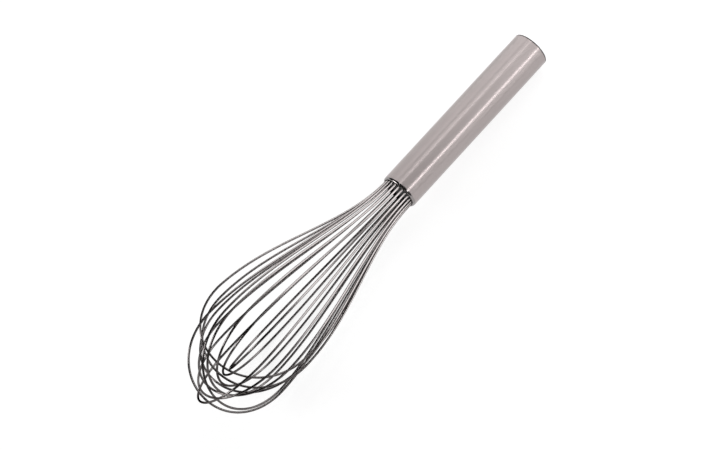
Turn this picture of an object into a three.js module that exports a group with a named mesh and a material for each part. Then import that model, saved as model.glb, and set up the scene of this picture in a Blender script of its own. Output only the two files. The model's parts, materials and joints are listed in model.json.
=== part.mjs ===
// A balloon whisk: a tubular steel handle that holds both ends of twelve nested loops of round wire.
//
// All sizes are in millimetres. Every piece is modelled along the whisk's own axis: z runs from the butt
// of the handle to the tip of the cage, and y points to the side that faces up when the whisk lies down.
// The finished whisk is then laid on a table: +Z up, tip towards +X, origin on the table under its middle.

import * as THREE from 'three';

// Handle tube
const TUBE_DIAMETER = 22.5;
const TUBE_WALL = 1;
const TUBE_LENGTH = 117.2;
const MOUTH_ROUND_LENGTH = 1.4;
const MOUTH_FLAT = 0.25;
const BUTT_ROUND = 0.6;

// Cap pressed into the butt
const CAP_FACE_THICKNESS = 1.2;
const CAP_SKIRT_WALL = 1;
const CAP_SKIRT_LENGTH = 7;
const CAP_EDGE_ROUND = 0.4;

// Grooved plug that spaces the wire ends, and the compound poured in behind it
const CORE_RECESS = 1.6;
const CORE_LENGTH = 18;
const SEAL_LENGTH = 8;

// Wire cage: reach is measured along the axis from the mouth of the tube to a wire's middle
const LOOP_COUNT = 12;
const WIRE_DIAMETER = 1.3;
const SHORTEST_REACH = 139.5;
const NEST_GAP = 0.95;
const BELLY_RADIUS = 30.7;
const NOSE_LENGTH = 34.4;
const NOSE_FULLNESS = 0.576;
const NECK_RUN = 37;
const BELLY_RUN = 40;
const FIRST_AZIMUTH = THREE.MathUtils.degToRad(3);

// Use has bent the cage: all of it leans along x, and along y where the table presses it up. Each tip has
// sprung further along x, listed from the shortest loop. The second loop was pulled out furthest, and its
// tip stands a little proud of the even nest.
const LEAN_ASIDE = THREE.MathUtils.degToRad(-1.4);
const LEAN_UP = THREE.MathUtils.degToRad(1.2);
const TIP_DRIFT = [1, -7.5, -1, -1, 0, 1, 0, 2, 4.5, 2.5, 1, 3];
const PULLED_LOOP = 1;
const PULLED_OUT = 0.6;

// Room left between pieces that are pressed or sealed together
const FIT_GAP = 0.3;

// Where the whisk lies it has rolled about its own axis by about this much, until two wires carry it
const LYING_ROLL = THREE.MathUtils.degToRad(-15);

// Facets
const ROUND_SIDES = 48;
const EDGE_STEPS = 4;
const WIRE_SIDES = 8;
const WIRE_STEPS = 48;
const GROOVE_SEGMENTS = 3;
const SETTLING_STEPS = 40;

// Sizes that follow from the ones above
const tubeRadius = TUBE_DIAMETER / 2;
const boreRadius = tubeRadius - TUBE_WALL;
const plugRadius = boreRadius - FIT_GAP;
const wireRadius = WIRE_DIAMETER / 2;
const ringRadius = boreRadius - FIT_GAP - wireRadius;
const nestStep = WIRE_DIAMETER + NEST_GAP;
const azimuthPitch = Math.PI / LOOP_COUNT;
const coreFront = TUBE_LENGTH - CORE_RECESS;
const coreBack = coreFront - CORE_LENGTH;

const brushedSteel = new THREE.MeshStandardMaterial({ color: 0xb8aca8, roughness: 0.4, metalness: 1 });
const wireSteel = new THREE.MeshStandardMaterial({ color: 0xb9b4b0, roughness: 0.18, metalness: 1 });
const plugNylon = new THREE.MeshStandardMaterial({ color: 0x232325, roughness: 0.6, metalness: 0 });
const sealResin = new THREE.MeshStandardMaterial({ color: 0x4a4540, roughness: 0.45, metalness: 0 });

function named(name, geometry, material) {
  const mesh = new THREE.Mesh(geometry, material);
  mesh.name = name;
  return mesh;
}

// A profile of (radius, z) points, anticlockwise and closed on itself or on the axis, turned about z.
function turned(profile) {
  const geometry = new THREE.LatheGeometry(profile, ROUND_SIDES);
  return geometry.rotateX(Math.PI / 2);
}

// Points of a quarter ellipse that rounds a corner, from one angle to another.
function roundedCorner(centreRadius, centreZ, reachRadius, reachZ, fromAngle, toAngle) {
  const points = [];
  for (let step = 0; step <= EDGE_STEPS; step += 1) {
    const angle = THREE.MathUtils.lerp(fromAngle, toAngle, step / EDGE_STEPS);
    points.push(new THREE.Vector2(
      centreRadius + reachRadius * Math.cos(angle),
      centreZ + reachZ * Math.sin(angle),
    ));
  }
  return points;
}

function handleTube() {
  const mouthRoundDepth = TUBE_WALL - MOUTH_FLAT;
  const outline = [
    new THREE.Vector2(boreRadius, 0),
    ...roundedCorner(tubeRadius - BUTT_ROUND, BUTT_ROUND, BUTT_ROUND, BUTT_ROUND, -Math.PI / 2, 0),
    ...roundedCorner(
      tubeRadius - mouthRoundDepth, TUBE_LENGTH - MOUTH_ROUND_LENGTH,
      mouthRoundDepth, MOUTH_ROUND_LENGTH, 0, Math.PI / 2,
    ),
    new THREE.Vector2(boreRadius, TUBE_LENGTH),
    new THREE.Vector2(boreRadius, 0),
  ];
  return named('handle_tube', turned(outline), brushedSteel);
}

// A shallow pressed cup: its face closes the butt and its skirt grips the bore.
function endCap() {
  const skirtInside = plugRadius - CAP_SKIRT_WALL;
  const outline = [
    new THREE.Vector2(0, 0),
    ...roundedCorner(
      plugRadius - CAP_EDGE_ROUND, CAP_EDGE_ROUND, CAP_EDGE_ROUND, CAP_EDGE_ROUND, -Math.PI / 2, 0,
    ),
    new THREE.Vector2(plugRadius, CAP_SKIRT_LENGTH),
    new THREE.Vector2(skirtInside, CAP_SKIRT_LENGTH),
    new THREE.Vector2(skirtInside, CAP_FACE_THICKNESS),
    new THREE.Vector2(0, CAP_FACE_THICKNESS),
  ];
  return named('end_cap', turned(outline), brushedSteel);
}

// Each wire end has a groove that is open to the tube's wall, a little narrower there than the wire.
function wireCore() {
  const grooveRadius = wireRadius + FIT_GAP;
  const mouthCosine = (plugRadius ** 2 + ringRadius ** 2 - grooveRadius ** 2) / (2 * plugRadius * ringRadius);
  const mouthAngle = Math.acos(mouthCosine);
  const arcAngle = Math.atan2(
    plugRadius * Math.sin(mouthAngle),
    plugRadius * Math.cos(mouthAngle) - ringRadius,
  );
  const outline = new THREE.Shape();
  for (let groove = 0; groove < 2 * LOOP_COUNT; groove += 1) {
    const angle = Math.PI / 2 - FIRST_AZIMUTH + groove * azimuthPitch;
    const x = ringRadius * Math.cos(angle);
    const y = ringRadius * Math.sin(angle);
    outline.absarc(x, y, grooveRadius, angle - arcAngle, angle + arcAngle, true);
  }
  outline.closePath();
  const geometry = new THREE.ExtrudeGeometry(outline, {
    depth: CORE_LENGTH, bevelEnabled: false, curveSegments: GROOVE_SEGMENTS,
  });
  const core = named('wire_core', geometry, plugNylon);
  core.position.z = coreBack;
  return core;
}

function resinSeal() {
  const geometry = new THREE.CylinderGeometry(plugRadius, plugRadius, SEAL_LENGTH, ROUND_SIDES);
  const seal = named('resin_seal', geometry.rotateX(Math.PI / 2), sealResin);
  seal.position.z = coreBack - FIT_GAP - SEAL_LENGTH / 2;
  return seal;
}

// The middle line of one loop: straight out of the plug, a swelling leg, a round nose, and back.
class LoopLine extends THREE.Curve {
  constructor(azimuth, reach, drift) {
    super();
    this.azimuth = azimuth;
    this.reach = reach;
    this.drift = drift;
    const bellyHeight = reach - NOSE_LENGTH;
    const neck = new THREE.Vector2(ringRadius, 0);
    const belly = new THREE.Vector2(BELLY_RADIUS, bellyHeight);
    this.half = new THREE.CurvePath();
    this.half.add(new THREE.LineCurve(new THREE.Vector2(ringRadius, coreBack - TUBE_LENGTH), neck));
    this.half.add(new THREE.CubicBezierCurve(
      neck,
      new THREE.Vector2(ringRadius, NECK_RUN),
      new THREE.Vector2(BELLY_RADIUS, bellyHeight - BELLY_RUN),
      belly,
    ));
    this.half.add(new THREE.CubicBezierCurve(
      belly,
      new THREE.Vector2(BELLY_RADIUS, bellyHeight + NOSE_FULLNESS * NOSE_LENGTH),
      new THREE.Vector2(NOSE_FULLNESS * BELLY_RADIUS, reach),
      new THREE.Vector2(0, reach),
    ));
  }

  getPoint(share, target = new THREE.Vector3()) {
    const outward = share <= 0.5;
    const profile = this.half.getPoint(outward ? 2 * share : 2 - 2 * share);
    const radius = outward ? profile.x : -profile.x;
    const clear = Math.max(profile.y, 0);
    const sway = Math.tan(LEAN_ASIDE) * clear + this.drift * (clear / this.reach) ** 2;
    return target.set(
      radius * Math.sin(this.azimuth) + sway,
      radius * Math.cos(this.azimuth) + Math.tan(LEAN_UP) * clear,
      TUBE_LENGTH + profile.y,
    );
  }
}

// Two fans of loops, half the ring apart, take turns from the shortest loop to the longest.
function loopLines() {
  const lines = [];
  const fanOffset = azimuthPitch * Math.floor(LOOP_COUNT / 2);
  for (let rank = 0; rank < LOOP_COUNT; rank += 1) {
    const azimuth = FIRST_AZIMUTH - azimuthPitch * Math.floor(rank / 2) + fanOffset * (rank % 2);
    const proud = rank === PULLED_LOOP ? PULLED_OUT : 0;
    const reach = SHORTEST_REACH + nestStep * rank + proud;
    lines.push(new LoopLine(azimuth, reach, TIP_DRIFT[rank] ?? 0));
  }
  return lines;
}

function wireLoop(line, rank) {
  const section = new THREE.Shape();
  section.absarc(0, 0, wireRadius, 0, 2 * Math.PI);
  const geometry = new THREE.ExtrudeGeometry(section, {
    steps: WIRE_STEPS, extrudePath: line, curveSegments: WIRE_SIDES / 2,
  });
  return named(`wire_loop_${String(rank + 1).padStart(2, '0')}`, geometry, wireSteel);
}

// How far the axis rises from butt to tip when the butt's edge and the lowest wire both touch the table.
function lyingTilt(wirePoints, roll) {
  const heelZ = BUTT_ROUND;
  const heelY = BUTT_ROUND - tubeRadius;
  let tilt = 0;
  for (const point of wirePoints) {
    const y = point.x * Math.sin(roll) + point.y * Math.cos(roll);
    const span = Math.hypot(point.z - heelZ, y - heelY);
    const fall = Math.atan2(heelY - y, point.z - heelZ) + Math.asin((wireRadius - BUTT_ROUND) / span);
    tilt = Math.max(tilt, fall);
  }
  return tilt;
}

// Two wires carry the whisk at the roll where its axis rises least, found by narrowing a range in thirds.
function settledRoll(wirePoints) {
  let low = LYING_ROLL - azimuthPitch / 2;
  let high = LYING_ROLL + azimuthPitch / 2;
  for (let step = 0; step < SETTLING_STEPS; step += 1) {
    const third = (high - low) / 3;
    if (lyingTilt(wirePoints, low + third) < lyingTilt(wirePoints, high - third)) {
      high -= third;
    } else {
      low += third;
    }
  }
  return (low + high) / 2;
}

const lines = loopLines();
const wirePoints = lines.flatMap((line) => line.getSpacedPoints(WIRE_STEPS));
const roll = settledRoll(wirePoints);
const tilt = lyingTilt(wirePoints, roll);

const pieces = new THREE.Group();
pieces.add(handleTube(), endCap(), wireCore(), resinSeal(), ...lines.map(wireLoop));
pieces.rotation.z = roll;

const laid = new THREE.Group();
laid.add(pieces);
laid.setRotationFromMatrix(new THREE.Matrix4().makeBasis(
  new THREE.Vector3(0, 1, 0),
  new THREE.Vector3(-Math.sin(tilt), 0, Math.cos(tilt)),
  new THREE.Vector3(Math.cos(tilt), 0, Math.sin(tilt)),
));

const whisk = new THREE.Group();
whisk.add(laid);
const box = new THREE.Box3().setFromObject(whisk, true);
const middle = box.getCenter(new THREE.Vector3());
laid.position.set(-middle.x, -middle.y, -box.min.z);

export default whisk;
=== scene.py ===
"""A balloon whisk lying on a pale floor: the fine surfaces, finishes, light and camera around its CAD frame.

The file is laid out as an add-on and run as a script. Sizes are in metres and repeat the frame's own.
"""

import json
import math

import bpy
from mathutils import Matrix, Vector
from mathutils.geometry import interpolate_bezier


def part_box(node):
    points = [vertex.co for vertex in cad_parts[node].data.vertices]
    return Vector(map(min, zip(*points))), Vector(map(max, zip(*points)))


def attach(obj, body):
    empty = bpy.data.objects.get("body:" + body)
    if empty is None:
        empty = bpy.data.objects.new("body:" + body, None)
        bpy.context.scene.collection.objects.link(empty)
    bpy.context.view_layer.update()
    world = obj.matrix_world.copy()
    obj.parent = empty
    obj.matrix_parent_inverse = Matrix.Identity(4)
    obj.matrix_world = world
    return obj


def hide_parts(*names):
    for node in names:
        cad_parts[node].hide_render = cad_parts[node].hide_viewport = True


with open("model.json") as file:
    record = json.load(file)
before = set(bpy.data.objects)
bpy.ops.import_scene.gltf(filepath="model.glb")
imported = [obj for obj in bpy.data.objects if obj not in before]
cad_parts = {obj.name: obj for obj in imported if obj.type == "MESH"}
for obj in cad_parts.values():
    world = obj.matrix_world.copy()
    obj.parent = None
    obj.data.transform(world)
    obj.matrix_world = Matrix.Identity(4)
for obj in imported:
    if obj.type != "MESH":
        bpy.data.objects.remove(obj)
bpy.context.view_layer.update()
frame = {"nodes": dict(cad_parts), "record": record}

bl_info = {
    "name": "Balloon Whisk",
    "version": (1, 0, 0),
    "blender": (4, 5, 0),
    "location": "3D View > Sidebar > Whisk",
    "description": "Models and finishes a balloon whisk around its CAD frame",
    "category": "Add Mesh",
}

MM = 0.001
BODY = "root"

# The photograph's frame, in pixels
IMAGE_WIDTH = 721
IMAGE_HEIGHT = 450

# What the camera can see, in metres from it
CLIP_START = 0.01
CLIP_END = 50.0

# How fine the round shapes are
TUBE_SIDES = 192
EDGE_STEPS = 12
WIRE_BEVEL = 3
WIRE_STEPS = 72
FLOOR_SIDES = 96

# Edges that turn by less than this are shaded smooth
TUBE_SMOOTH = math.radians(40)
WIRE_SMOOTH = math.radians(50)

# Points closer than this become one
WELD_DISTANCE = MM / 1000

LOOP_COUNT = 12

# Sideways spring of each loop's tip, in millimetres, from the shortest loop to the longest
TIP_DRIFT = (1, -7.5, -1, -1, 0, 1, 0, 2, 4.5, 2.5, 1, 3)

# The loop whose tip stands proud, where the shortest is 0
PULLED_LOOP = 1

# The frame's solids and these surfaces may differ by the frame's facets
FRAME_TOLERANCE = 0.7 * MM

# Grains per metre in each finish, twice across the whisk and once along it
BRUSH_GRAIN = (90.0, 90.0, 9000.0)
HANDLING_CLOUDS = (70.0, 70.0, 30.0)
RIM_SMEARS = (700.0, 700.0, 700.0)
EDGE_SMEARS = (900.0, 900.0, 900.0)
WIRE_TARNISH = (250.0, 250.0, 60.0)
WIRE_PULLS = (4000.0, 4000.0, 250.0)
NYLON_GRAIN = (5000.0, 5000.0, 5000.0)
RESIN_MOTTLE = (600.0, 600.0, 600.0)

# Most of a noise texture lies between these two values
NOISE_LOW = 0.3
NOISE_HIGH = 0.7

# How far noise takes a roughness from its set value
SMALL_SWING = 0.04
LARGE_SWING = 0.05


def length(name, description, millimetres):
    """A property that holds a length."""
    return bpy.props.FloatProperty(
        name=name, description=description, default=millimetres * MM, precision=5, unit="LENGTH",
    )


def angle(name, description, degrees):
    """A property that holds an angle."""
    return bpy.props.FloatProperty(
        name=name, description=description, default=math.radians(degrees), subtype="ANGLE",
    )


def share(name, description, value):
    """A property that holds a share from none to all."""
    return bpy.props.FloatProperty(
        name=name, description=description, default=value, min=0.0, max=1.0, subtype="FACTOR",
    )


def strength(name, description, value):
    """A property that holds how bright a lamp or a glow is, where 1 is about white."""
    return bpy.props.FloatProperty(name=name, description=description, default=value, min=0.0)


def colour(name, description, rgb):
    """A property that holds a colour."""
    return bpy.props.FloatVectorProperty(
        name=name, description=description, default=rgb, size=3, min=0.0, max=1.0, subtype="COLOR",
    )


class WhiskHandle(bpy.types.PropertyGroup):
    """Sizes of the tube, its cap and the plug that holds the wires"""

    tube_diameter: length("Tube diameter", "Outside of the handle tube", 22.5)
    tube_wall: length("Tube wall", "Thickness of the tube's steel", 1)
    tube_length: length("Tube length", "Handle tube from butt to mouth", 117.2)
    mouth_round: length("Mouth rounding", "How far back the mouth's edge is rounded", 1.4)
    mouth_flat: length("Mouth flat", "Flat ring left between the rounding and the bore", 0.25)
    butt_round: length("Butt rounding", "Radius on the butt's outer edge", 0.6)
    # The dark rim band is painted shade: a dark line for the reflection on the butt's rolled edge.
    rim_band: length("Rim band", "How far the dark burnish reaches from the butt", 0.8)
    cap_face: length("Cap face", "Thickness of the cap's face", 1.2)
    cap_wall: length("Cap skirt wall", "Thickness of the cap's skirt", 1)
    cap_skirt: length("Cap skirt", "How deep the cap's skirt reaches into the tube", 7)
    cap_round: length("Cap edge rounding", "Radius on the cap's outer edge", 0.4)
    core_recess: length("Plug recess", "How far the plug sits behind the mouth", 1.6)
    core_length: length("Plug length", "Length of the grooved plug", 18)
    fit_gap: length("Fit gap", "Room between pieces that are pressed together", 0.3)


class WhiskCage(bpy.types.PropertyGroup):
    """Sizes of the nested wire loops and how they lie"""

    wire_diameter: length("Wire diameter", "Thickness of the spring wire", 1.3)
    shortest_reach: length("Shortest reach", "Mouth to the tip of the shortest loop", 139.5)
    nest_gap: length("Nest gap", "Room between one loop's tip and the next", 0.95)
    belly_radius: length("Belly radius", "Half the width of the cage at its widest", 30.7)
    nose_length: length("Nose length", "Widest place to the tip", 34.4)
    nose_fullness: share("Nose fullness", "How square the nose is", 0.576)
    neck_run: length("Neck run", "How far a wire keeps to the tube's direction", 37)
    belly_run: length("Belly run", "How far a wire keeps straight before the widest place", 40)
    first_azimuth: angle("First azimuth", "Turn of the shortest loop about the axis", 3)
    lean_aside: angle("Lean aside", "Sideways lean of the whole cage", -1.4)
    lean_up: angle("Lean up", "Lean of the cage away from the table", 1.2)
    pulled_out: length("Pulled out", "How far the second loop's tip stands proud", 0.6)
    lying_roll: angle("Lying roll", "Roll about the axis at which the whisk lies still", -21.358)


class WhiskFinish(bpy.types.PropertyGroup):
    """Colours and gloss of the steel, plug and seal"""

    handle_colour: colour("Handle steel", "Brushed stainless tube and cap", (0.42, 0.372, 0.367))
    handle_roughness: share("Handle roughness", "Roughness of the brushed steel", 0.36)
    handle_grain: share("Handle grain", "How far the brushing stretches reflections", 0.85)
    edge_roughness: share("Edge roughness", "Roughness of the polished mouth", 0.14)
    # The rim colour is painted shade: a near-black line for the dark reflection on the butt's rolled edge.
    rim_colour: colour("Rim", "Dark burnish on the butt's rolled edge", (0.03, 0.029, 0.028))
    rim_roughness: share("Rim roughness", "Roughness of the burnished edge", 0.3)
    wire_colour: colour("Wire steel", "Bright drawn spring wire", (0.3, 0.278, 0.275))
    # Painted shade: the wires' colour darkens towards the nose, standing in for the dark surroundings that
    # the nose reflects.
    tarnish_start: length("Tarnish start", "Distance from the butt at which the wires start to dull", 175)
    tarnish_end: length("Tarnish end", "Distance from the butt from which they are dullest", 250)
    tarnish_depth: share("Tarnish depth", "Share of its colour that the dullest wire keeps", 0.45)
    # The burnish that this tints at the butt is the painted dark line there.
    wire_rim: colour("Wire rim", "Tint of the wires and the burnish at a grazing angle", (0.1, 0.1, 0.1))
    wire_roughness: share("Wire roughness", "Roughness of the drawn wire", 0.12)
    core_colour: colour("Plug nylon", "Black moulded plug", (0.012, 0.012, 0.013))
    seal_colour: colour("Seal resin", "Dark resin behind the plug", (0.12, 0.1, 0.08))


class WhiskStudio(bpy.types.PropertyGroup):
    """Floor, light and camera"""

    floor_colour: colour("Floor", "Matt table under the white", (0.3, 0.3, 0.3))
    floor_glow: strength("Floor glow", "What lifts the lit floor to white where it is seen", 0.8)
    far_glow: strength("Far glow", "What lifts the floor to white where little light reaches it", 0.95)
    glow_near: length("Glow near", "Distance from the whisk where the far glow sets in", 300)
    glow_far: length("Glow far", "Distance from the whisk where the far glow is full", 1500)
    floor_radius: length("Floor radius", "How far the table reaches", 20000)
    horizon: strength("Horizon", "Pale haze at the horizon", 0.6)
    ceiling: strength("Ceiling", "Dim room above the haze", 0.03)
    haze_low: angle("Haze", "Height up to which the horizon is pale", 3)
    haze_high: angle("Haze end", "Height from which the room is dim", 8)
    box_distance: length("Softbox distance", "Softbox to the mouth of the tube", 650)
    panel_distance: length("Panel distance", "Panel and tip lamp to the mouth of the tube", 1200)
    box_width: length("Softbox width", "Softbox round the whisk", 1591)
    box_height: length("Softbox height", "Softbox along the whisk", 271)
    box_turn: angle("Softbox turn", "Turn of the softbox about the handle's axis", 7.25)
    box_back: angle("Softbox back", "How far the softbox stands back towards the butt", 34)
    box_strength: strength("Softbox", "Brightness of the softbox", 3.0)
    panel_width: length("Panel width", "Panel round the whisk", 1386)
    panel_height: length("Panel height", "Panel along the whisk", 1300)
    panel_turn: angle("Panel turn", "Turn of the panel about the handle's axis", -86)
    panel_back: angle("Panel back", "How far the panel stands back towards the butt", 43)
    panel_strength: strength("Panel", "Brightness of the panel left of the handle", 1.82)
    tip_width: length("Tip lamp width", "Tip lamp round the whisk", 450)
    tip_height: length("Tip lamp height", "Tip lamp along the whisk", 450)
    tip_turn: angle("Tip lamp turn", "Turn of the tip lamp about the handle's axis", -75)
    tip_back: angle("Tip lamp back", "How far the tip lamp stands back, forwards if below zero", -45)
    tip_strength: strength("Tip lamp", "Brightness of the lamp beyond the tip", 11.0)
    strip_distance: length("Strip distance", "Distance of the strip lamps from the mouth", 1100)
    strip_length: length("Strip length", "Length of the strip lamps along the whisk", 900)
    strip_back: angle("Strip back", "How far the strip lamps stand back towards the butt", 6.0)
    right_width: length("Right strip width", "Width of the right strip", 160)
    left_width: length("Left strip width", "Width of the left strip", 60)
    right_strip: strength("Right strip", "Brightness of the strip right of the handle", 4.2)
    left_strip: strength("Left strip", "Brightness of the strip left of the handle", 3.0)
    right_turn: angle("Right strip turn", "Turn of the right strip about the handle's axis", 30.4)
    left_turn: angle("Left strip turn", "Turn of the left strip about the handle's axis", -30)
    view_lift: angle("View lift", "How far the view is turned from square-on towards the tip", 17.5)
    axis_slope: angle("Axis slope", "Slope of the whisk's axis in the picture", 47.42)
    camera_distance: length("Camera distance", "Camera to the mouth of the tube", 1680)
    focal_pixels: bpy.props.FloatProperty(
        name="Focal length", description="Focal length in pixels of the picture", default=3000.0,
    )
    mouth_pixel: bpy.props.FloatVectorProperty(
        name="Mouth pixel",
        description="Where the picture shows the tube's mouth, in pixels from its top left",
        default=(400.1, 191.05),
        size=2,
    )


def lying_matrix(scene):
    """From the whisk's own axes, z from butt to tip, to the frame where it lies rolled on the floor."""
    butt = next(mount for mount in frame["record"]["mounts"] if mount["name"] == "butt_face")
    along = -Vector(butt["axis"]).normalized()
    across = Vector((0.0, 1.0, 0.0))
    upward = along.cross(across)
    laid = Matrix((across, upward, along)).transposed().to_4x4()
    laid.translation = Vector(butt["pos_m"])
    return laid @ Matrix.Rotation(scene.whisk_cage.lying_roll, 4, "Z")


def deselect_all():
    """Leave nothing selected, so that an operator acts on the new piece alone."""
    bpy.ops.object.select_all(action="DESELECT")


def lay_down(piece, scene):
    """Lay a piece made along its own axis where the whisk lies, with its place kept in its mesh."""
    deselect_all()
    piece.select_set(True)
    bpy.context.view_layer.objects.active = piece
    piece.matrix_world = lying_matrix(scene)
    bpy.ops.object.transform_apply(location=True, rotation=True, scale=True)


def check_place(piece, node):
    """Stop if a piece doesn't lie where the frame's node lies."""
    low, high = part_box(node)
    corners = [vertex.co for vertex in piece.data.vertices]
    for axis in range(3):
        lowest = min(corner[axis] for corner in corners)
        highest = max(corner[axis] for corner in corners)
        if max(abs(lowest - low[axis]), abs(highest - high[axis])) > FRAME_TOLERANCE:
            raise RuntimeError(f"{piece.name} doesn't lie where {node} lies")


def stand_for(piece, node):
    """Let a finished piece stand for a node of the frame."""
    check_place(piece, node)
    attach(piece, BODY)
    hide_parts(node)


def rounded(centre, reach, start_angle, end_angle):
    """Points of a quarter ellipse that rounds an edge of a turned profile, between two angles in degrees."""
    points = []
    for step in range(EDGE_STEPS + 1):
        turn = math.radians(start_angle + (end_angle - start_angle) * step / EDGE_STEPS)
        points.append((centre[0] + reach[0] * math.cos(turn), centre[1] + reach[1] * math.sin(turn)))
    return points


def weld(smooth_angle):
    """Join the active mesh's double points, turn its faces outward and shade it smooth."""
    bpy.ops.object.mode_set(mode="EDIT")
    bpy.ops.mesh.select_all(action="SELECT")
    bpy.ops.mesh.remove_doubles(threshold=WELD_DISTANCE)
    bpy.ops.mesh.normals_make_consistent(inside=False)
    bpy.ops.object.mode_set(mode="OBJECT")
    bpy.ops.object.shade_smooth_by_angle(angle=smooth_angle)


def turned(name, profile):
    """A round piece: a ring at a profile's first (radius, height), extruded and resized from point to point.

    A profile that starts on the axis gets a disc of 1 mm radius there.
    """
    deselect_all()
    first_radius, first_height = profile[0]
    start = max(first_radius, MM)
    bpy.ops.mesh.primitive_circle_add(vertices=TUBE_SIDES, radius=start, location=(0.0, 0.0, 0.0))
    piece = bpy.context.active_object
    piece.name = name
    piece.data.name = name
    bpy.ops.object.mode_set(mode="EDIT")
    bpy.ops.mesh.select_all(action="SELECT")
    bpy.ops.transform.translate(value=(0.0, 0.0, first_height))
    radius, height = start, first_height
    if first_radius == 0.0:
        bpy.ops.mesh.edge_face_add()
        bpy.ops.mesh.poke()
        bpy.ops.mesh.select_non_manifold(extend=False)
    for next_radius, next_height in profile[1:]:
        bpy.ops.mesh.extrude_region_move(
            TRANSFORM_OT_translate={"value": (0.0, 0.0, next_height - height)},
        )
        grow = next_radius / radius
        bpy.ops.transform.resize(value=(grow, grow, 1.0), center_override=(0.0, 0.0, next_height))
        radius, height = next_radius, next_height
    weld(TUBE_SMOOTH)
    return piece


def refinish(piece, low, high, material):
    """Give another finish to the faces that lie within a stretch of the piece's own axis."""
    piece.data.materials.append(material)
    added = len(piece.data.materials) - 1
    for face in piece.data.polygons:
        if low < face.center.z < high:
            face.material_index = added


def new_material(name):
    """A node material with its shader, ready for a finish."""
    material = bpy.data.materials.new(name)
    material.use_nodes = True
    shader = material.node_tree.nodes["Principled BSDF"]
    return material, material.node_tree, shader


def whisk_coordinates(tree, scene):
    """The whisk's own axes from Object coordinates: z runs along the handle."""
    place, turn, _ = lying_matrix(scene).decompose()
    source = tree.nodes.new("ShaderNodeTexCoord")
    mapping = tree.nodes.new("ShaderNodeMapping")
    mapping.vector_type = "TEXTURE"
    mapping.inputs["Location"].default_value = place
    mapping.inputs["Rotation"].default_value = turn.to_euler()
    tree.links.new(source.outputs["Object"], mapping.inputs["Vector"])
    return mapping.outputs["Vector"]


def stretched_noise(tree, vector, per_metre, detail):
    """Noise with its own count of grains per metre along each axis."""
    scale = tree.nodes.new("ShaderNodeVectorMath")
    scale.operation = "MULTIPLY"
    scale.inputs[1].default_value = per_metre
    tree.links.new(vector, scale.inputs[0])
    noise = tree.nodes.new("ShaderNodeTexNoise")
    noise.inputs["Scale"].default_value = 1.0
    noise.inputs["Detail"].default_value = detail
    tree.links.new(scale.outputs["Vector"], noise.inputs["Vector"])
    return noise.outputs["Fac"]


def spread(tree, value, low, high):
    """A noise value spread between two numbers."""
    node = tree.nodes.new("ShaderNodeMapRange")
    node.inputs["From Min"].default_value = NOISE_LOW
    node.inputs["From Max"].default_value = NOISE_HIGH
    node.inputs["To Min"].default_value = low
    node.inputs["To Max"].default_value = high
    tree.links.new(value, node.inputs["Value"])
    return node.outputs["Result"]


def coloured(tree, value, shader, rgb, darkest):
    """Give the shader a colour that a noise value dims down to a share of itself."""
    mix = tree.nodes.new("ShaderNodeMix")
    mix.data_type = "RGBA"
    mix.inputs["A"].default_value = (*(part * darkest for part in rgb), 1.0)
    mix.inputs["B"].default_value = (*rgb, 1.0)
    tree.links.new(value, mix.inputs["Factor"])
    tree.links.new(mix.outputs["Result"], shader.inputs["Base Color"])


def roughened(tree, value, shader, low, high):
    """Give the shader a roughness that a noise value moves between two numbers."""
    tree.links.new(spread(tree, value, low, high), shader.inputs["Roughness"])


def fading(tree, vector, value, start, end):
    """A value that falls to nothing between two places along the whisk."""
    parts = tree.nodes.new("ShaderNodeSeparateXYZ")
    tree.links.new(vector, parts.inputs["Vector"])
    height = tree.nodes.new("ShaderNodeMapRange")
    height.interpolation_type = "SMOOTHSTEP"
    height.inputs["From Min"].default_value = start
    height.inputs["From Max"].default_value = end
    height.inputs["To Min"].default_value = 1.0
    height.inputs["To Max"].default_value = 0.0
    tree.links.new(parts.outputs["Z"], height.inputs["Value"])
    product = tree.nodes.new("ShaderNodeMath")
    product.operation = "MULTIPLY"
    tree.links.new(value, product.inputs[0])
    tree.links.new(height.outputs["Result"], product.inputs[1])
    return product.outputs["Value"]


def bumped(tree, value, shader, depth, push):
    """Give the shader the relief of a noise value."""
    bump = tree.nodes.new("ShaderNodeBump")
    bump.inputs["Strength"].default_value = push
    bump.inputs["Distance"].default_value = depth
    tree.links.new(value, bump.inputs["Height"])
    tree.links.new(bump.outputs["Normal"], shader.inputs["Normal"])


def along_the_handle(tree, scene, shader):
    """Let the brushed grain stretch reflections along the handle."""
    axis = lying_matrix(scene).col[2]
    direction = tree.nodes.new("ShaderNodeCombineXYZ")
    direction.inputs["X"].default_value = axis.x
    direction.inputs["Y"].default_value = axis.y
    direction.inputs["Z"].default_value = axis.z
    turn = tree.nodes.new("ShaderNodeVectorTransform")
    turn.vector_type = "VECTOR"
    turn.convert_from = "OBJECT"
    turn.convert_to = "WORLD"
    tree.links.new(direction.outputs["Vector"], turn.inputs["Vector"])
    tree.links.new(turn.outputs["Vector"], shader.inputs["Tangent"])


def brushed_steel(scene):
    """Stainless tube brushed round its girth, with a fine grain and faint clouds from handling."""
    finish = scene.whisk_finish
    material, tree, shader = new_material("brushed_steel")
    vector = whisk_coordinates(tree, scene)
    grain = stretched_noise(tree, vector, BRUSH_GRAIN, detail=4.0)
    clouds = stretched_noise(tree, vector, HANDLING_CLOUDS, detail=3.0)
    rough = finish.handle_roughness
    shader.inputs["Metallic"].default_value = 1.0
    shader.inputs["Anisotropic"].default_value = finish.handle_grain
    coloured(tree, clouds, shader, finish.handle_colour, darkest=0.9)
    roughened(tree, grain, shader, low=rough - SMALL_SWING, high=rough + SMALL_SWING)
    bumped(tree, grain, shader, depth=0.01 * MM, push=0.35)
    along_the_handle(tree, scene, shader)
    return material


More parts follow.
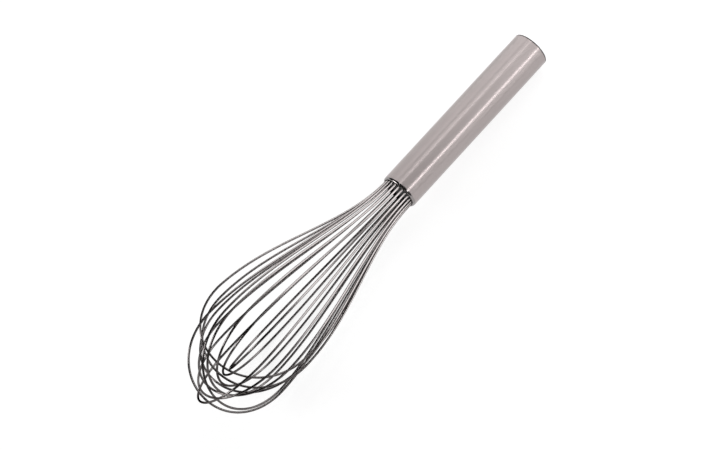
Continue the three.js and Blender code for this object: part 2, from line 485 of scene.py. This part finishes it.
def painted_dark_rim(scene):
    """Painted shade: a near-black line on the rolled edge at the butt, standing in for the dark surroundings
    that the edge reflects.
    """
    finish = scene.whisk_finish
    material, tree, shader = new_material("painted_dark_rim")
    vector = whisk_coordinates(tree, scene)
    smears = stretched_noise(tree, vector, RIM_SMEARS, detail=3.0)
    rough = finish.rim_roughness
    shader.inputs["Metallic"].default_value = 1.0
    shader.inputs["Specular Tint"].default_value = (*finish.wire_rim, 1.0)
    # Painted shade: near-black colour for the dark reflection on the rolled edge.
    coloured(tree, smears, shader, finish.rim_colour, darkest=0.7)
    roughened(tree, smears, shader, low=rough - LARGE_SWING, high=rough + LARGE_SWING)
    return material


def polished_edge(scene):
    """Buffed steel, as dark as the wires, where the tube's mouth is rounded over."""
    finish = scene.whisk_finish
    material, tree, shader = new_material("polished_edge")
    vector = whisk_coordinates(tree, scene)
    smears = stretched_noise(tree, vector, EDGE_SMEARS, detail=3.0)
    rough = finish.edge_roughness
    shader.inputs["Metallic"].default_value = 1.0
    coloured(tree, smears, shader, finish.wire_colour, darkest=0.88)
    roughened(tree, smears, shader, low=rough - SMALL_SWING, high=rough + LARGE_SWING)
    return material


def drawn_wire(scene):
    """Bright drawn wire with fine pulls from the die and patches of tarnish, darkened towards the nose by
    painted shade.
    """
    finish = scene.whisk_finish
    material, tree, shader = new_material("drawn_wire")
    vector = whisk_coordinates(tree, scene)
    tarnish = stretched_noise(tree, vector, WIRE_TARNISH, detail=3.0)
    pulls = stretched_noise(tree, vector, WIRE_PULLS, detail=3.0)
    patchy = spread(tree, tarnish, low=0.7, high=1.0)
    # Painted shade: the colour falls towards the nose between these two places.
    tarnish_and_nose_shade = fading(tree, vector, patchy, finish.tarnish_start, finish.tarnish_end)
    rough = finish.wire_roughness
    shader.inputs["Metallic"].default_value = 1.0
    shader.inputs["Specular Tint"].default_value = (*finish.wire_rim, 1.0)
    coloured(tree, tarnish_and_nose_shade, shader, finish.wire_colour, darkest=finish.tarnish_depth)
    roughened(tree, pulls, shader, low=rough - SMALL_SWING, high=rough + LARGE_SWING)
    bumped(tree, pulls, shader, depth=0.004 * MM, push=0.25)
    return material


def moulded_nylon(scene):
    """Black nylon plug with a fine moulded grain."""
    material, tree, shader = new_material("moulded_nylon")
    vector = whisk_coordinates(tree, scene)
    grain = stretched_noise(tree, vector, NYLON_GRAIN, detail=2.0)
    coloured(tree, grain, shader, scene.whisk_finish.core_colour, darkest=0.6)
    roughened(tree, grain, shader, low=0.5, high=0.65)
    bumped(tree, grain, shader, depth=0.02 * MM, push=0.3)
    return material


def cast_resin(scene):
    """Dark resin poured in behind the plug."""
    material, tree, shader = new_material("cast_resin")
    vector = whisk_coordinates(tree, scene)
    mottle = stretched_noise(tree, vector, RESIN_MOTTLE, detail=4.0)
    coloured(tree, mottle, shader, scene.whisk_finish.seal_colour, darkest=0.6)
    roughened(tree, mottle, shader, low=0.3, high=0.5)
    bumped(tree, mottle, shader, depth=0.1 * MM, push=0.3)
    return material


def made_once(make, scene):
    """A material that several operators share."""
    return bpy.data.materials.get(make.__name__) or make(scene)


class WHISK_OT_handle_tube(bpy.types.Operator):
    """Model the handle tube with its rounded ends"""

    bl_idname = "whisk.handle_tube"
    bl_label = "Handle Tube"

    def execute(self, context):
        sizes = context.scene.whisk_handle
        radius = sizes.tube_diameter / 2
        bore = radius - sizes.tube_wall
        deep = sizes.tube_wall - sizes.mouth_flat
        butt = sizes.butt_round
        mouth_start = sizes.tube_length - sizes.mouth_round
        profile = [
            (bore, 0.0),
            *rounded((radius - butt, butt), (butt, butt), -90, 0),
            (radius, sizes.rim_band),
            *rounded((radius - deep, mouth_start), (deep, sizes.mouth_round), 0, 90),
            (bore, sizes.tube_length),
            (bore, 0.0),
        ]
        tube = turned("handle_shell", profile)
        tube.data.materials.append(made_once(brushed_steel, context.scene))
        # The butt's rolled edge gets the painted dark line, a painted reflection of dark surroundings.
        refinish(tube, 0.0, sizes.rim_band, made_once(painted_dark_rim, context.scene))
        refinish(tube, mouth_start, sizes.tube_length + MM, made_once(polished_edge, context.scene))
        lay_down(tube, context.scene)
        stand_for(tube, "handle_tube")
        return {"FINISHED"}


class WHISK_OT_end_cap(bpy.types.Operator):
    """Model the pressed cap that closes the butt"""

    bl_idname = "whisk.end_cap"
    bl_label = "End Cap"

    def execute(self, context):
        sizes = context.scene.whisk_handle
        outside = sizes.tube_diameter / 2 - sizes.tube_wall - sizes.fit_gap
        inside = outside - sizes.cap_wall
        edge = sizes.cap_round
        profile = [
            (0.0, 0.0),
            *rounded((outside - edge, edge), (edge, edge), -90, 0),
            (outside, sizes.cap_skirt),
            (inside, sizes.cap_skirt),
            (inside, sizes.cap_face),
            (0.0, sizes.cap_face),
        ]
        cap = turned("butt_cap", profile)
        cap.data.materials.append(made_once(brushed_steel, context.scene))
        lay_down(cap, context.scene)
        stand_for(cap, "end_cap")
        return {"FINISHED"}


class WHISK_OT_plug(bpy.types.Operator):
    """Finish the grooved plug and the resin behind it, which keep their CAD shape"""

    bl_idname = "whisk.plug"
    bl_label = "Plug and Seal"

    def execute(self, context):
        for node, make in (("wire_core", moulded_nylon), ("resin_seal", cast_resin)):
            solid = frame["nodes"][node]
            solid.data.materials.clear()
            solid.data.materials.append(made_once(make, context.scene))
        return {"FINISHED"}


def half_loop(scene, reach):
    """(radius, height above the mouth) of a wire from its end in the plug to its tip."""
    handle, cage = scene.whisk_handle, scene.whisk_cage
    bore = handle.tube_diameter / 2 - handle.tube_wall
    ring = bore - handle.fit_gap - cage.wire_diameter / 2
    belly_height = reach - cage.nose_length
    end = Vector((ring, -handle.core_recess - handle.core_length))
    neck = Vector((ring, 0.0))
    belly = Vector((cage.belly_radius, belly_height))
    leg = interpolate_bezier(
        neck,
        Vector((ring, cage.neck_run)),
        Vector((cage.belly_radius, belly_height - cage.belly_run)),
        belly,
        WIRE_STEPS,
    )
    nose = interpolate_bezier(
        belly,
        Vector((cage.belly_radius, belly_height + cage.nose_fullness * cage.nose_length)),
        Vector((cage.nose_fullness * cage.belly_radius, reach)),
        Vector((0.0, reach)),
        WIRE_STEPS,
    )
    return [end, *leg, *nose[1:]]


def loop_points(scene, rank):
    """The middle line of one loop along the whisk's own axes, bent as use has left it."""
    handle, cage = scene.whisk_handle, scene.whisk_cage
    pitch = math.pi / LOOP_COUNT
    turn = cage.first_azimuth - pitch * (rank // 2) + pitch * (LOOP_COUNT // 2) * (rank % 2)
    proud = cage.pulled_out if rank == PULLED_LOOP else 0.0
    reach = cage.shortest_reach + (cage.wire_diameter + cage.nest_gap) * rank + proud
    half = half_loop(scene, reach)
    back = [Vector((-point.x, point.y)) for point in reversed(half[:-1])]
    points = []
    for radius, height in [*half, *back]:
        clear = max(height, 0.0)
        sway = math.tan(cage.lean_aside) * clear + TIP_DRIFT[rank] * MM * (clear / reach) ** 2
        lift = math.tan(cage.lean_up) * clear
        points.append(Vector((
            radius * math.sin(turn) + sway,
            radius * math.cos(turn) + lift,
            handle.tube_length + height,
        )))
    return points


def wire_along(name, points, diameter):
    """A round wire along a line of points, as a mesh."""
    deselect_all()
    bpy.ops.curve.primitive_bezier_curve_add()
    wire = bpy.context.active_object
    wire.name = name
    line = wire.data
    line.splines.clear()
    spline = line.splines.new("POLY")
    spline.points.add(len(points) - 1)
    for knot, point in zip(spline.points, points):
        knot.co = (*point, 1.0)
    line.dimensions = "3D"
    line.bevel_depth = diameter / 2
    line.bevel_resolution = WIRE_BEVEL
    line.use_fill_caps = True
    bpy.ops.object.convert(target="MESH")
    wire = bpy.context.active_object
    weld(WIRE_SMOOTH)
    wire.data.name = name
    return wire


class WHISK_OT_wire_loops(bpy.types.Operator):
    """Model the nested wire loops"""

    bl_idname = "whisk.wire_loops"
    bl_label = "Wire Loops"

    def execute(self, context):
        steel = made_once(drawn_wire, context.scene)
        for rank in range(LOOP_COUNT):
            points = loop_points(context.scene, rank)
            wire = wire_along(f"drawn_loop_{rank + 1:02d}", points, context.scene.whisk_cage.wire_diameter)
            wire.data.materials.clear()
            wire.data.materials.append(steel)
            lay_down(wire, context.scene)
            stand_for(wire, f"wire_loop_{rank + 1:02d}")
        return {"FINISHED"}


def whisk_axes(scene):
    """The whisk's own three directions as it lies, the last from butt to tip."""
    lying = lying_matrix(scene)
    return [lying.col[axis].to_3d() for axis in range(3)]


def mouth_centre(scene):
    """Where the mouth's rounding begins, on the handle's axis."""
    sizes = scene.whisk_handle
    return lying_matrix(scene) @ Vector((0.0, 0.0, sizes.tube_length - sizes.mouth_round))


def seen_rays(tree):
    """1 for rays from the camera and for those that a glossy or clear surface sends on, else 0."""
    path = tree.nodes.new("ShaderNodeLightPath")
    total = path.outputs["Is Camera Ray"]
    for name in ("Is Glossy Ray", "Is Transmission Ray"):
        larger = tree.nodes.new("ShaderNodeMath")
        larger.operation = "MAXIMUM"
        tree.links.new(total, larger.inputs[0])
        tree.links.new(path.outputs[name], larger.inputs[1])
        total = larger.outputs["Value"]
    return total


def floor_lift(tree, studio):
    """The floor's glow, which grows with the distance from the whisk as the lamps' light falls off."""
    source = tree.nodes.new("ShaderNodeTexCoord")
    distance = tree.nodes.new("ShaderNodeVectorMath")
    distance.operation = "LENGTH"
    ramp = tree.nodes.new("ShaderNodeMapRange")
    ramp.interpolation_type = "SMOOTHSTEP"
    ramp.inputs["From Min"].default_value = studio.glow_near
    ramp.inputs["From Max"].default_value = studio.glow_far
    ramp.inputs["To Min"].default_value = studio.floor_glow
    ramp.inputs["To Max"].default_value = studio.far_glow
    tree.links.new(source.outputs["Object"], distance.inputs[0])
    tree.links.new(distance.outputs["Value"], ramp.inputs["Value"])
    return ramp.outputs["Result"]


def lay_floor(scene):
    """A matt table that keeps the whisk's shadow, lifted to white where it is seen."""
    studio = scene.whisk_studio
    deselect_all()
    bpy.ops.mesh.primitive_circle_add(
        vertices=FLOOR_SIDES, radius=studio.floor_radius, fill_type="NGON",
    )
    floor = bpy.context.active_object
    floor.name = "floor"
    material = bpy.data.materials.new("table_white")
    material.use_nodes = True
    tree = material.node_tree
    tree.nodes.clear()
    matt = tree.nodes.new("ShaderNodeBsdfDiffuse")
    matt.inputs["Color"].default_value = (*studio.floor_colour, 1.0)
    glow = tree.nodes.new("ShaderNodeEmission")
    lifted = tree.nodes.new("ShaderNodeMath")
    lifted.operation = "MULTIPLY"
    both = tree.nodes.new("ShaderNodeAddShader")
    output = tree.nodes.new("ShaderNodeOutputMaterial")
    tree.links.new(seen_rays(tree), lifted.inputs[0])
    tree.links.new(floor_lift(tree, studio), lifted.inputs[1])
    tree.links.new(lifted.outputs["Value"], glow.inputs["Strength"])
    tree.links.new(matt.outputs["BSDF"], both.inputs[0])
    tree.links.new(glow.outputs["Emission"], both.inputs[1])
    tree.links.new(both.outputs["Shader"], output.inputs["Surface"])
    floor.data.materials.append(material)


def dim_room(scene):
    """A dim room over a pale horizon."""
    studio = scene.whisk_studio
    world = bpy.data.worlds.new("dim_room")
    world.use_nodes = True
    tree = world.node_tree
    direction = tree.nodes.new("ShaderNodeTexCoord")
    parts = tree.nodes.new("ShaderNodeSeparateXYZ")
    height = tree.nodes.new("ShaderNodeMapRange")
    height.interpolation_type = "SMOOTHSTEP"
    height.inputs["From Min"].default_value = math.sin(studio.haze_low)
    height.inputs["From Max"].default_value = math.sin(studio.haze_high)
    height.inputs["To Min"].default_value = studio.horizon
    height.inputs["To Max"].default_value = studio.ceiling
    tree.links.new(direction.outputs["Generated"], parts.inputs["Vector"])
    tree.links.new(parts.outputs["Z"], height.inputs["Value"])
    background = tree.nodes["Background"]
    background.inputs["Color"].default_value = (1.0, 1.0, 1.0, 1.0)
    tree.links.new(height.outputs["Result"], background.inputs["Strength"])
    scene.world = world


def hang_lamp(scene, name, brightness, sizes, turn, back, distance):
    """A flat lamp that faces the mouth of the tube.

    Its sizes are those round the handle and along it. It hangs at a turn about the handle's axis and stands
    back towards the butt by an angle.
    """
    across, upward, along = whisk_axes(scene)
    side = upward * math.cos(turn) + across * math.sin(turn)
    facing = side * math.cos(back) - along * math.sin(back)
    long_side = side * math.sin(back) + along * math.cos(back)
    place = Matrix((long_side.cross(facing), long_side, facing)).transposed().to_4x4()
    place.translation = mouth_centre(scene) + facing * distance
    lamp = bpy.data.lights.new(name, "AREA")
    lamp.shape = "RECTANGLE"
    lamp.size, lamp.size_y = sizes
    lamp.energy = brightness * math.pi * sizes[0] * sizes[1]
    holder = bpy.data.objects.new(name, lamp)
    scene.collection.objects.link(holder)
    holder.matrix_world = place
    holder.visible_camera = False


def hang_lamps(scene):
    """A softbox over the handle, a panel left of it, a lamp beyond the tip and two strips for highlights."""
    studio = scene.whisk_studio
    hang_lamp(
        scene, "softbox", studio.box_strength, (studio.box_width, studio.box_height),
        turn=studio.box_turn, back=studio.box_back, distance=studio.box_distance,
    )
    hang_lamp(
        scene, "panel", studio.panel_strength, (studio.panel_width, studio.panel_height),
        turn=studio.panel_turn, back=studio.panel_back, distance=studio.panel_distance,
    )
    hang_lamp(
        scene, "tip_lamp", studio.tip_strength, (studio.tip_width, studio.tip_height),
        turn=studio.tip_turn, back=studio.tip_back, distance=studio.panel_distance,
    )
    hang_lamp(
        scene, "right_strip", studio.right_strip, (studio.right_width, studio.strip_length),
        turn=studio.right_turn, back=studio.strip_back, distance=studio.strip_distance,
    )
    hang_lamp(
        scene, "left_strip", studio.left_strip, (studio.left_width, studio.strip_length),
        turn=studio.left_turn, back=studio.strip_back, distance=studio.strip_distance,
    )


def set_camera(scene):
    """A camera at the photograph's viewing angle."""
    studio = scene.whisk_studio
    lift = studio.view_lift
    slope = studio.axis_slope
    mouth = mouth_centre(scene)
    across, upward, along = whisk_axes(scene)
    to_camera = along * math.sin(lift) + upward * math.cos(lift)
    down_whisk = along * math.cos(lift) - upward * math.sin(lift)
    picture_right = across * math.sin(slope) - down_whisk * math.cos(slope)
    picture_up = -across * math.cos(slope) - down_whisk * math.sin(slope)
    metres_per_pixel = studio.camera_distance / studio.focal_pixels
    mouth_right = (studio.mouth_pixel[0] - IMAGE_WIDTH / 2) * metres_per_pixel
    mouth_up = (IMAGE_HEIGHT / 2 - studio.mouth_pixel[1]) * metres_per_pixel
    place = mouth + to_camera * studio.camera_distance
    aim = mouth - picture_right * mouth_right - picture_up * mouth_up
    backward = (place - aim).normalized()
    sideways = picture_up.cross(backward).normalized()
    turn = Matrix((sideways, backward.cross(sideways), backward)).transposed().to_4x4()
    turn.translation = place
    camera = bpy.data.cameras.new("photo_camera")
    camera.lens = studio.focal_pixels * camera.sensor_width / IMAGE_WIDTH
    camera.clip_start = CLIP_START
    camera.clip_end = CLIP_END
    holder = bpy.data.objects.new("photo_camera", camera)
    scene.collection.objects.link(holder)
    holder.matrix_world = turn
    scene.camera = holder


class WHISK_OT_stage(bpy.types.Operator):
    """Set the floor, the soft light and the camera"""

    bl_idname = "whisk.stage"
    bl_label = "Stage"

    def execute(self, context):
        scene = context.scene
        lay_floor(scene)
        dim_room(scene)
        hang_lamps(scene)
        set_camera(scene)
        scene.view_settings.view_transform = "Standard"
        return {"FINISHED"}


class WHISK_PT_sidebar(bpy.types.Panel):
    """The whisk's pieces and sizes"""

    bl_idname = "WHISK_PT_sidebar"
    bl_label = "Balloon Whisk"
    bl_space_type = "VIEW_3D"
    bl_region_type = "UI"
    bl_category = "Whisk"

    def draw(self, context):
        for operator in OPERATORS:
            self.layout.operator(operator.bl_idname)
        for name in SETTINGS:
            group = getattr(context.scene, name)
            box = self.layout.box()
            box.label(text=group.bl_rna.description)
            for entry in group.__annotations__:
                box.prop(group, entry)


OPERATORS = (
    WHISK_OT_handle_tube,
    WHISK_OT_end_cap,
    WHISK_OT_plug,
    WHISK_OT_wire_loops,
    WHISK_OT_stage,
)

SETTINGS = {
    "whisk_handle": WhiskHandle,
    "whisk_cage": WhiskCage,
    "whisk_finish": WhiskFinish,
    "whisk_studio": WhiskStudio,
}


def register():
    """Add the whisk's settings, operators and panel to Blender."""
    for name, group in SETTINGS.items():
        bpy.utils.register_class(group)
        setattr(bpy.types.Scene, name, bpy.props.PointerProperty(type=group))
    for operator in OPERATORS:
        bpy.utils.register_class(operator)
    bpy.utils.register_class(WHISK_PT_sidebar)


def unregister():
    """Take the panel, operators and settings out of Blender again."""
    bpy.utils.unregister_class(WHISK_PT_sidebar)
    for operator in reversed(OPERATORS):
        bpy.utils.unregister_class(operator)
    for name, group in SETTINGS.items():
        delattr(bpy.types.Scene, name)
        bpy.utils.unregister_class(group)


def main():
    """Build the whisk and its stage around the frame."""
    register()
    bpy.ops.whisk.handle_tube()
    bpy.ops.whisk.end_cap()
    bpy.ops.whisk.plug()
    bpy.ops.whisk.wire_loops()
    bpy.ops.whisk.stage()


if __name__ == "__main__":
    main()
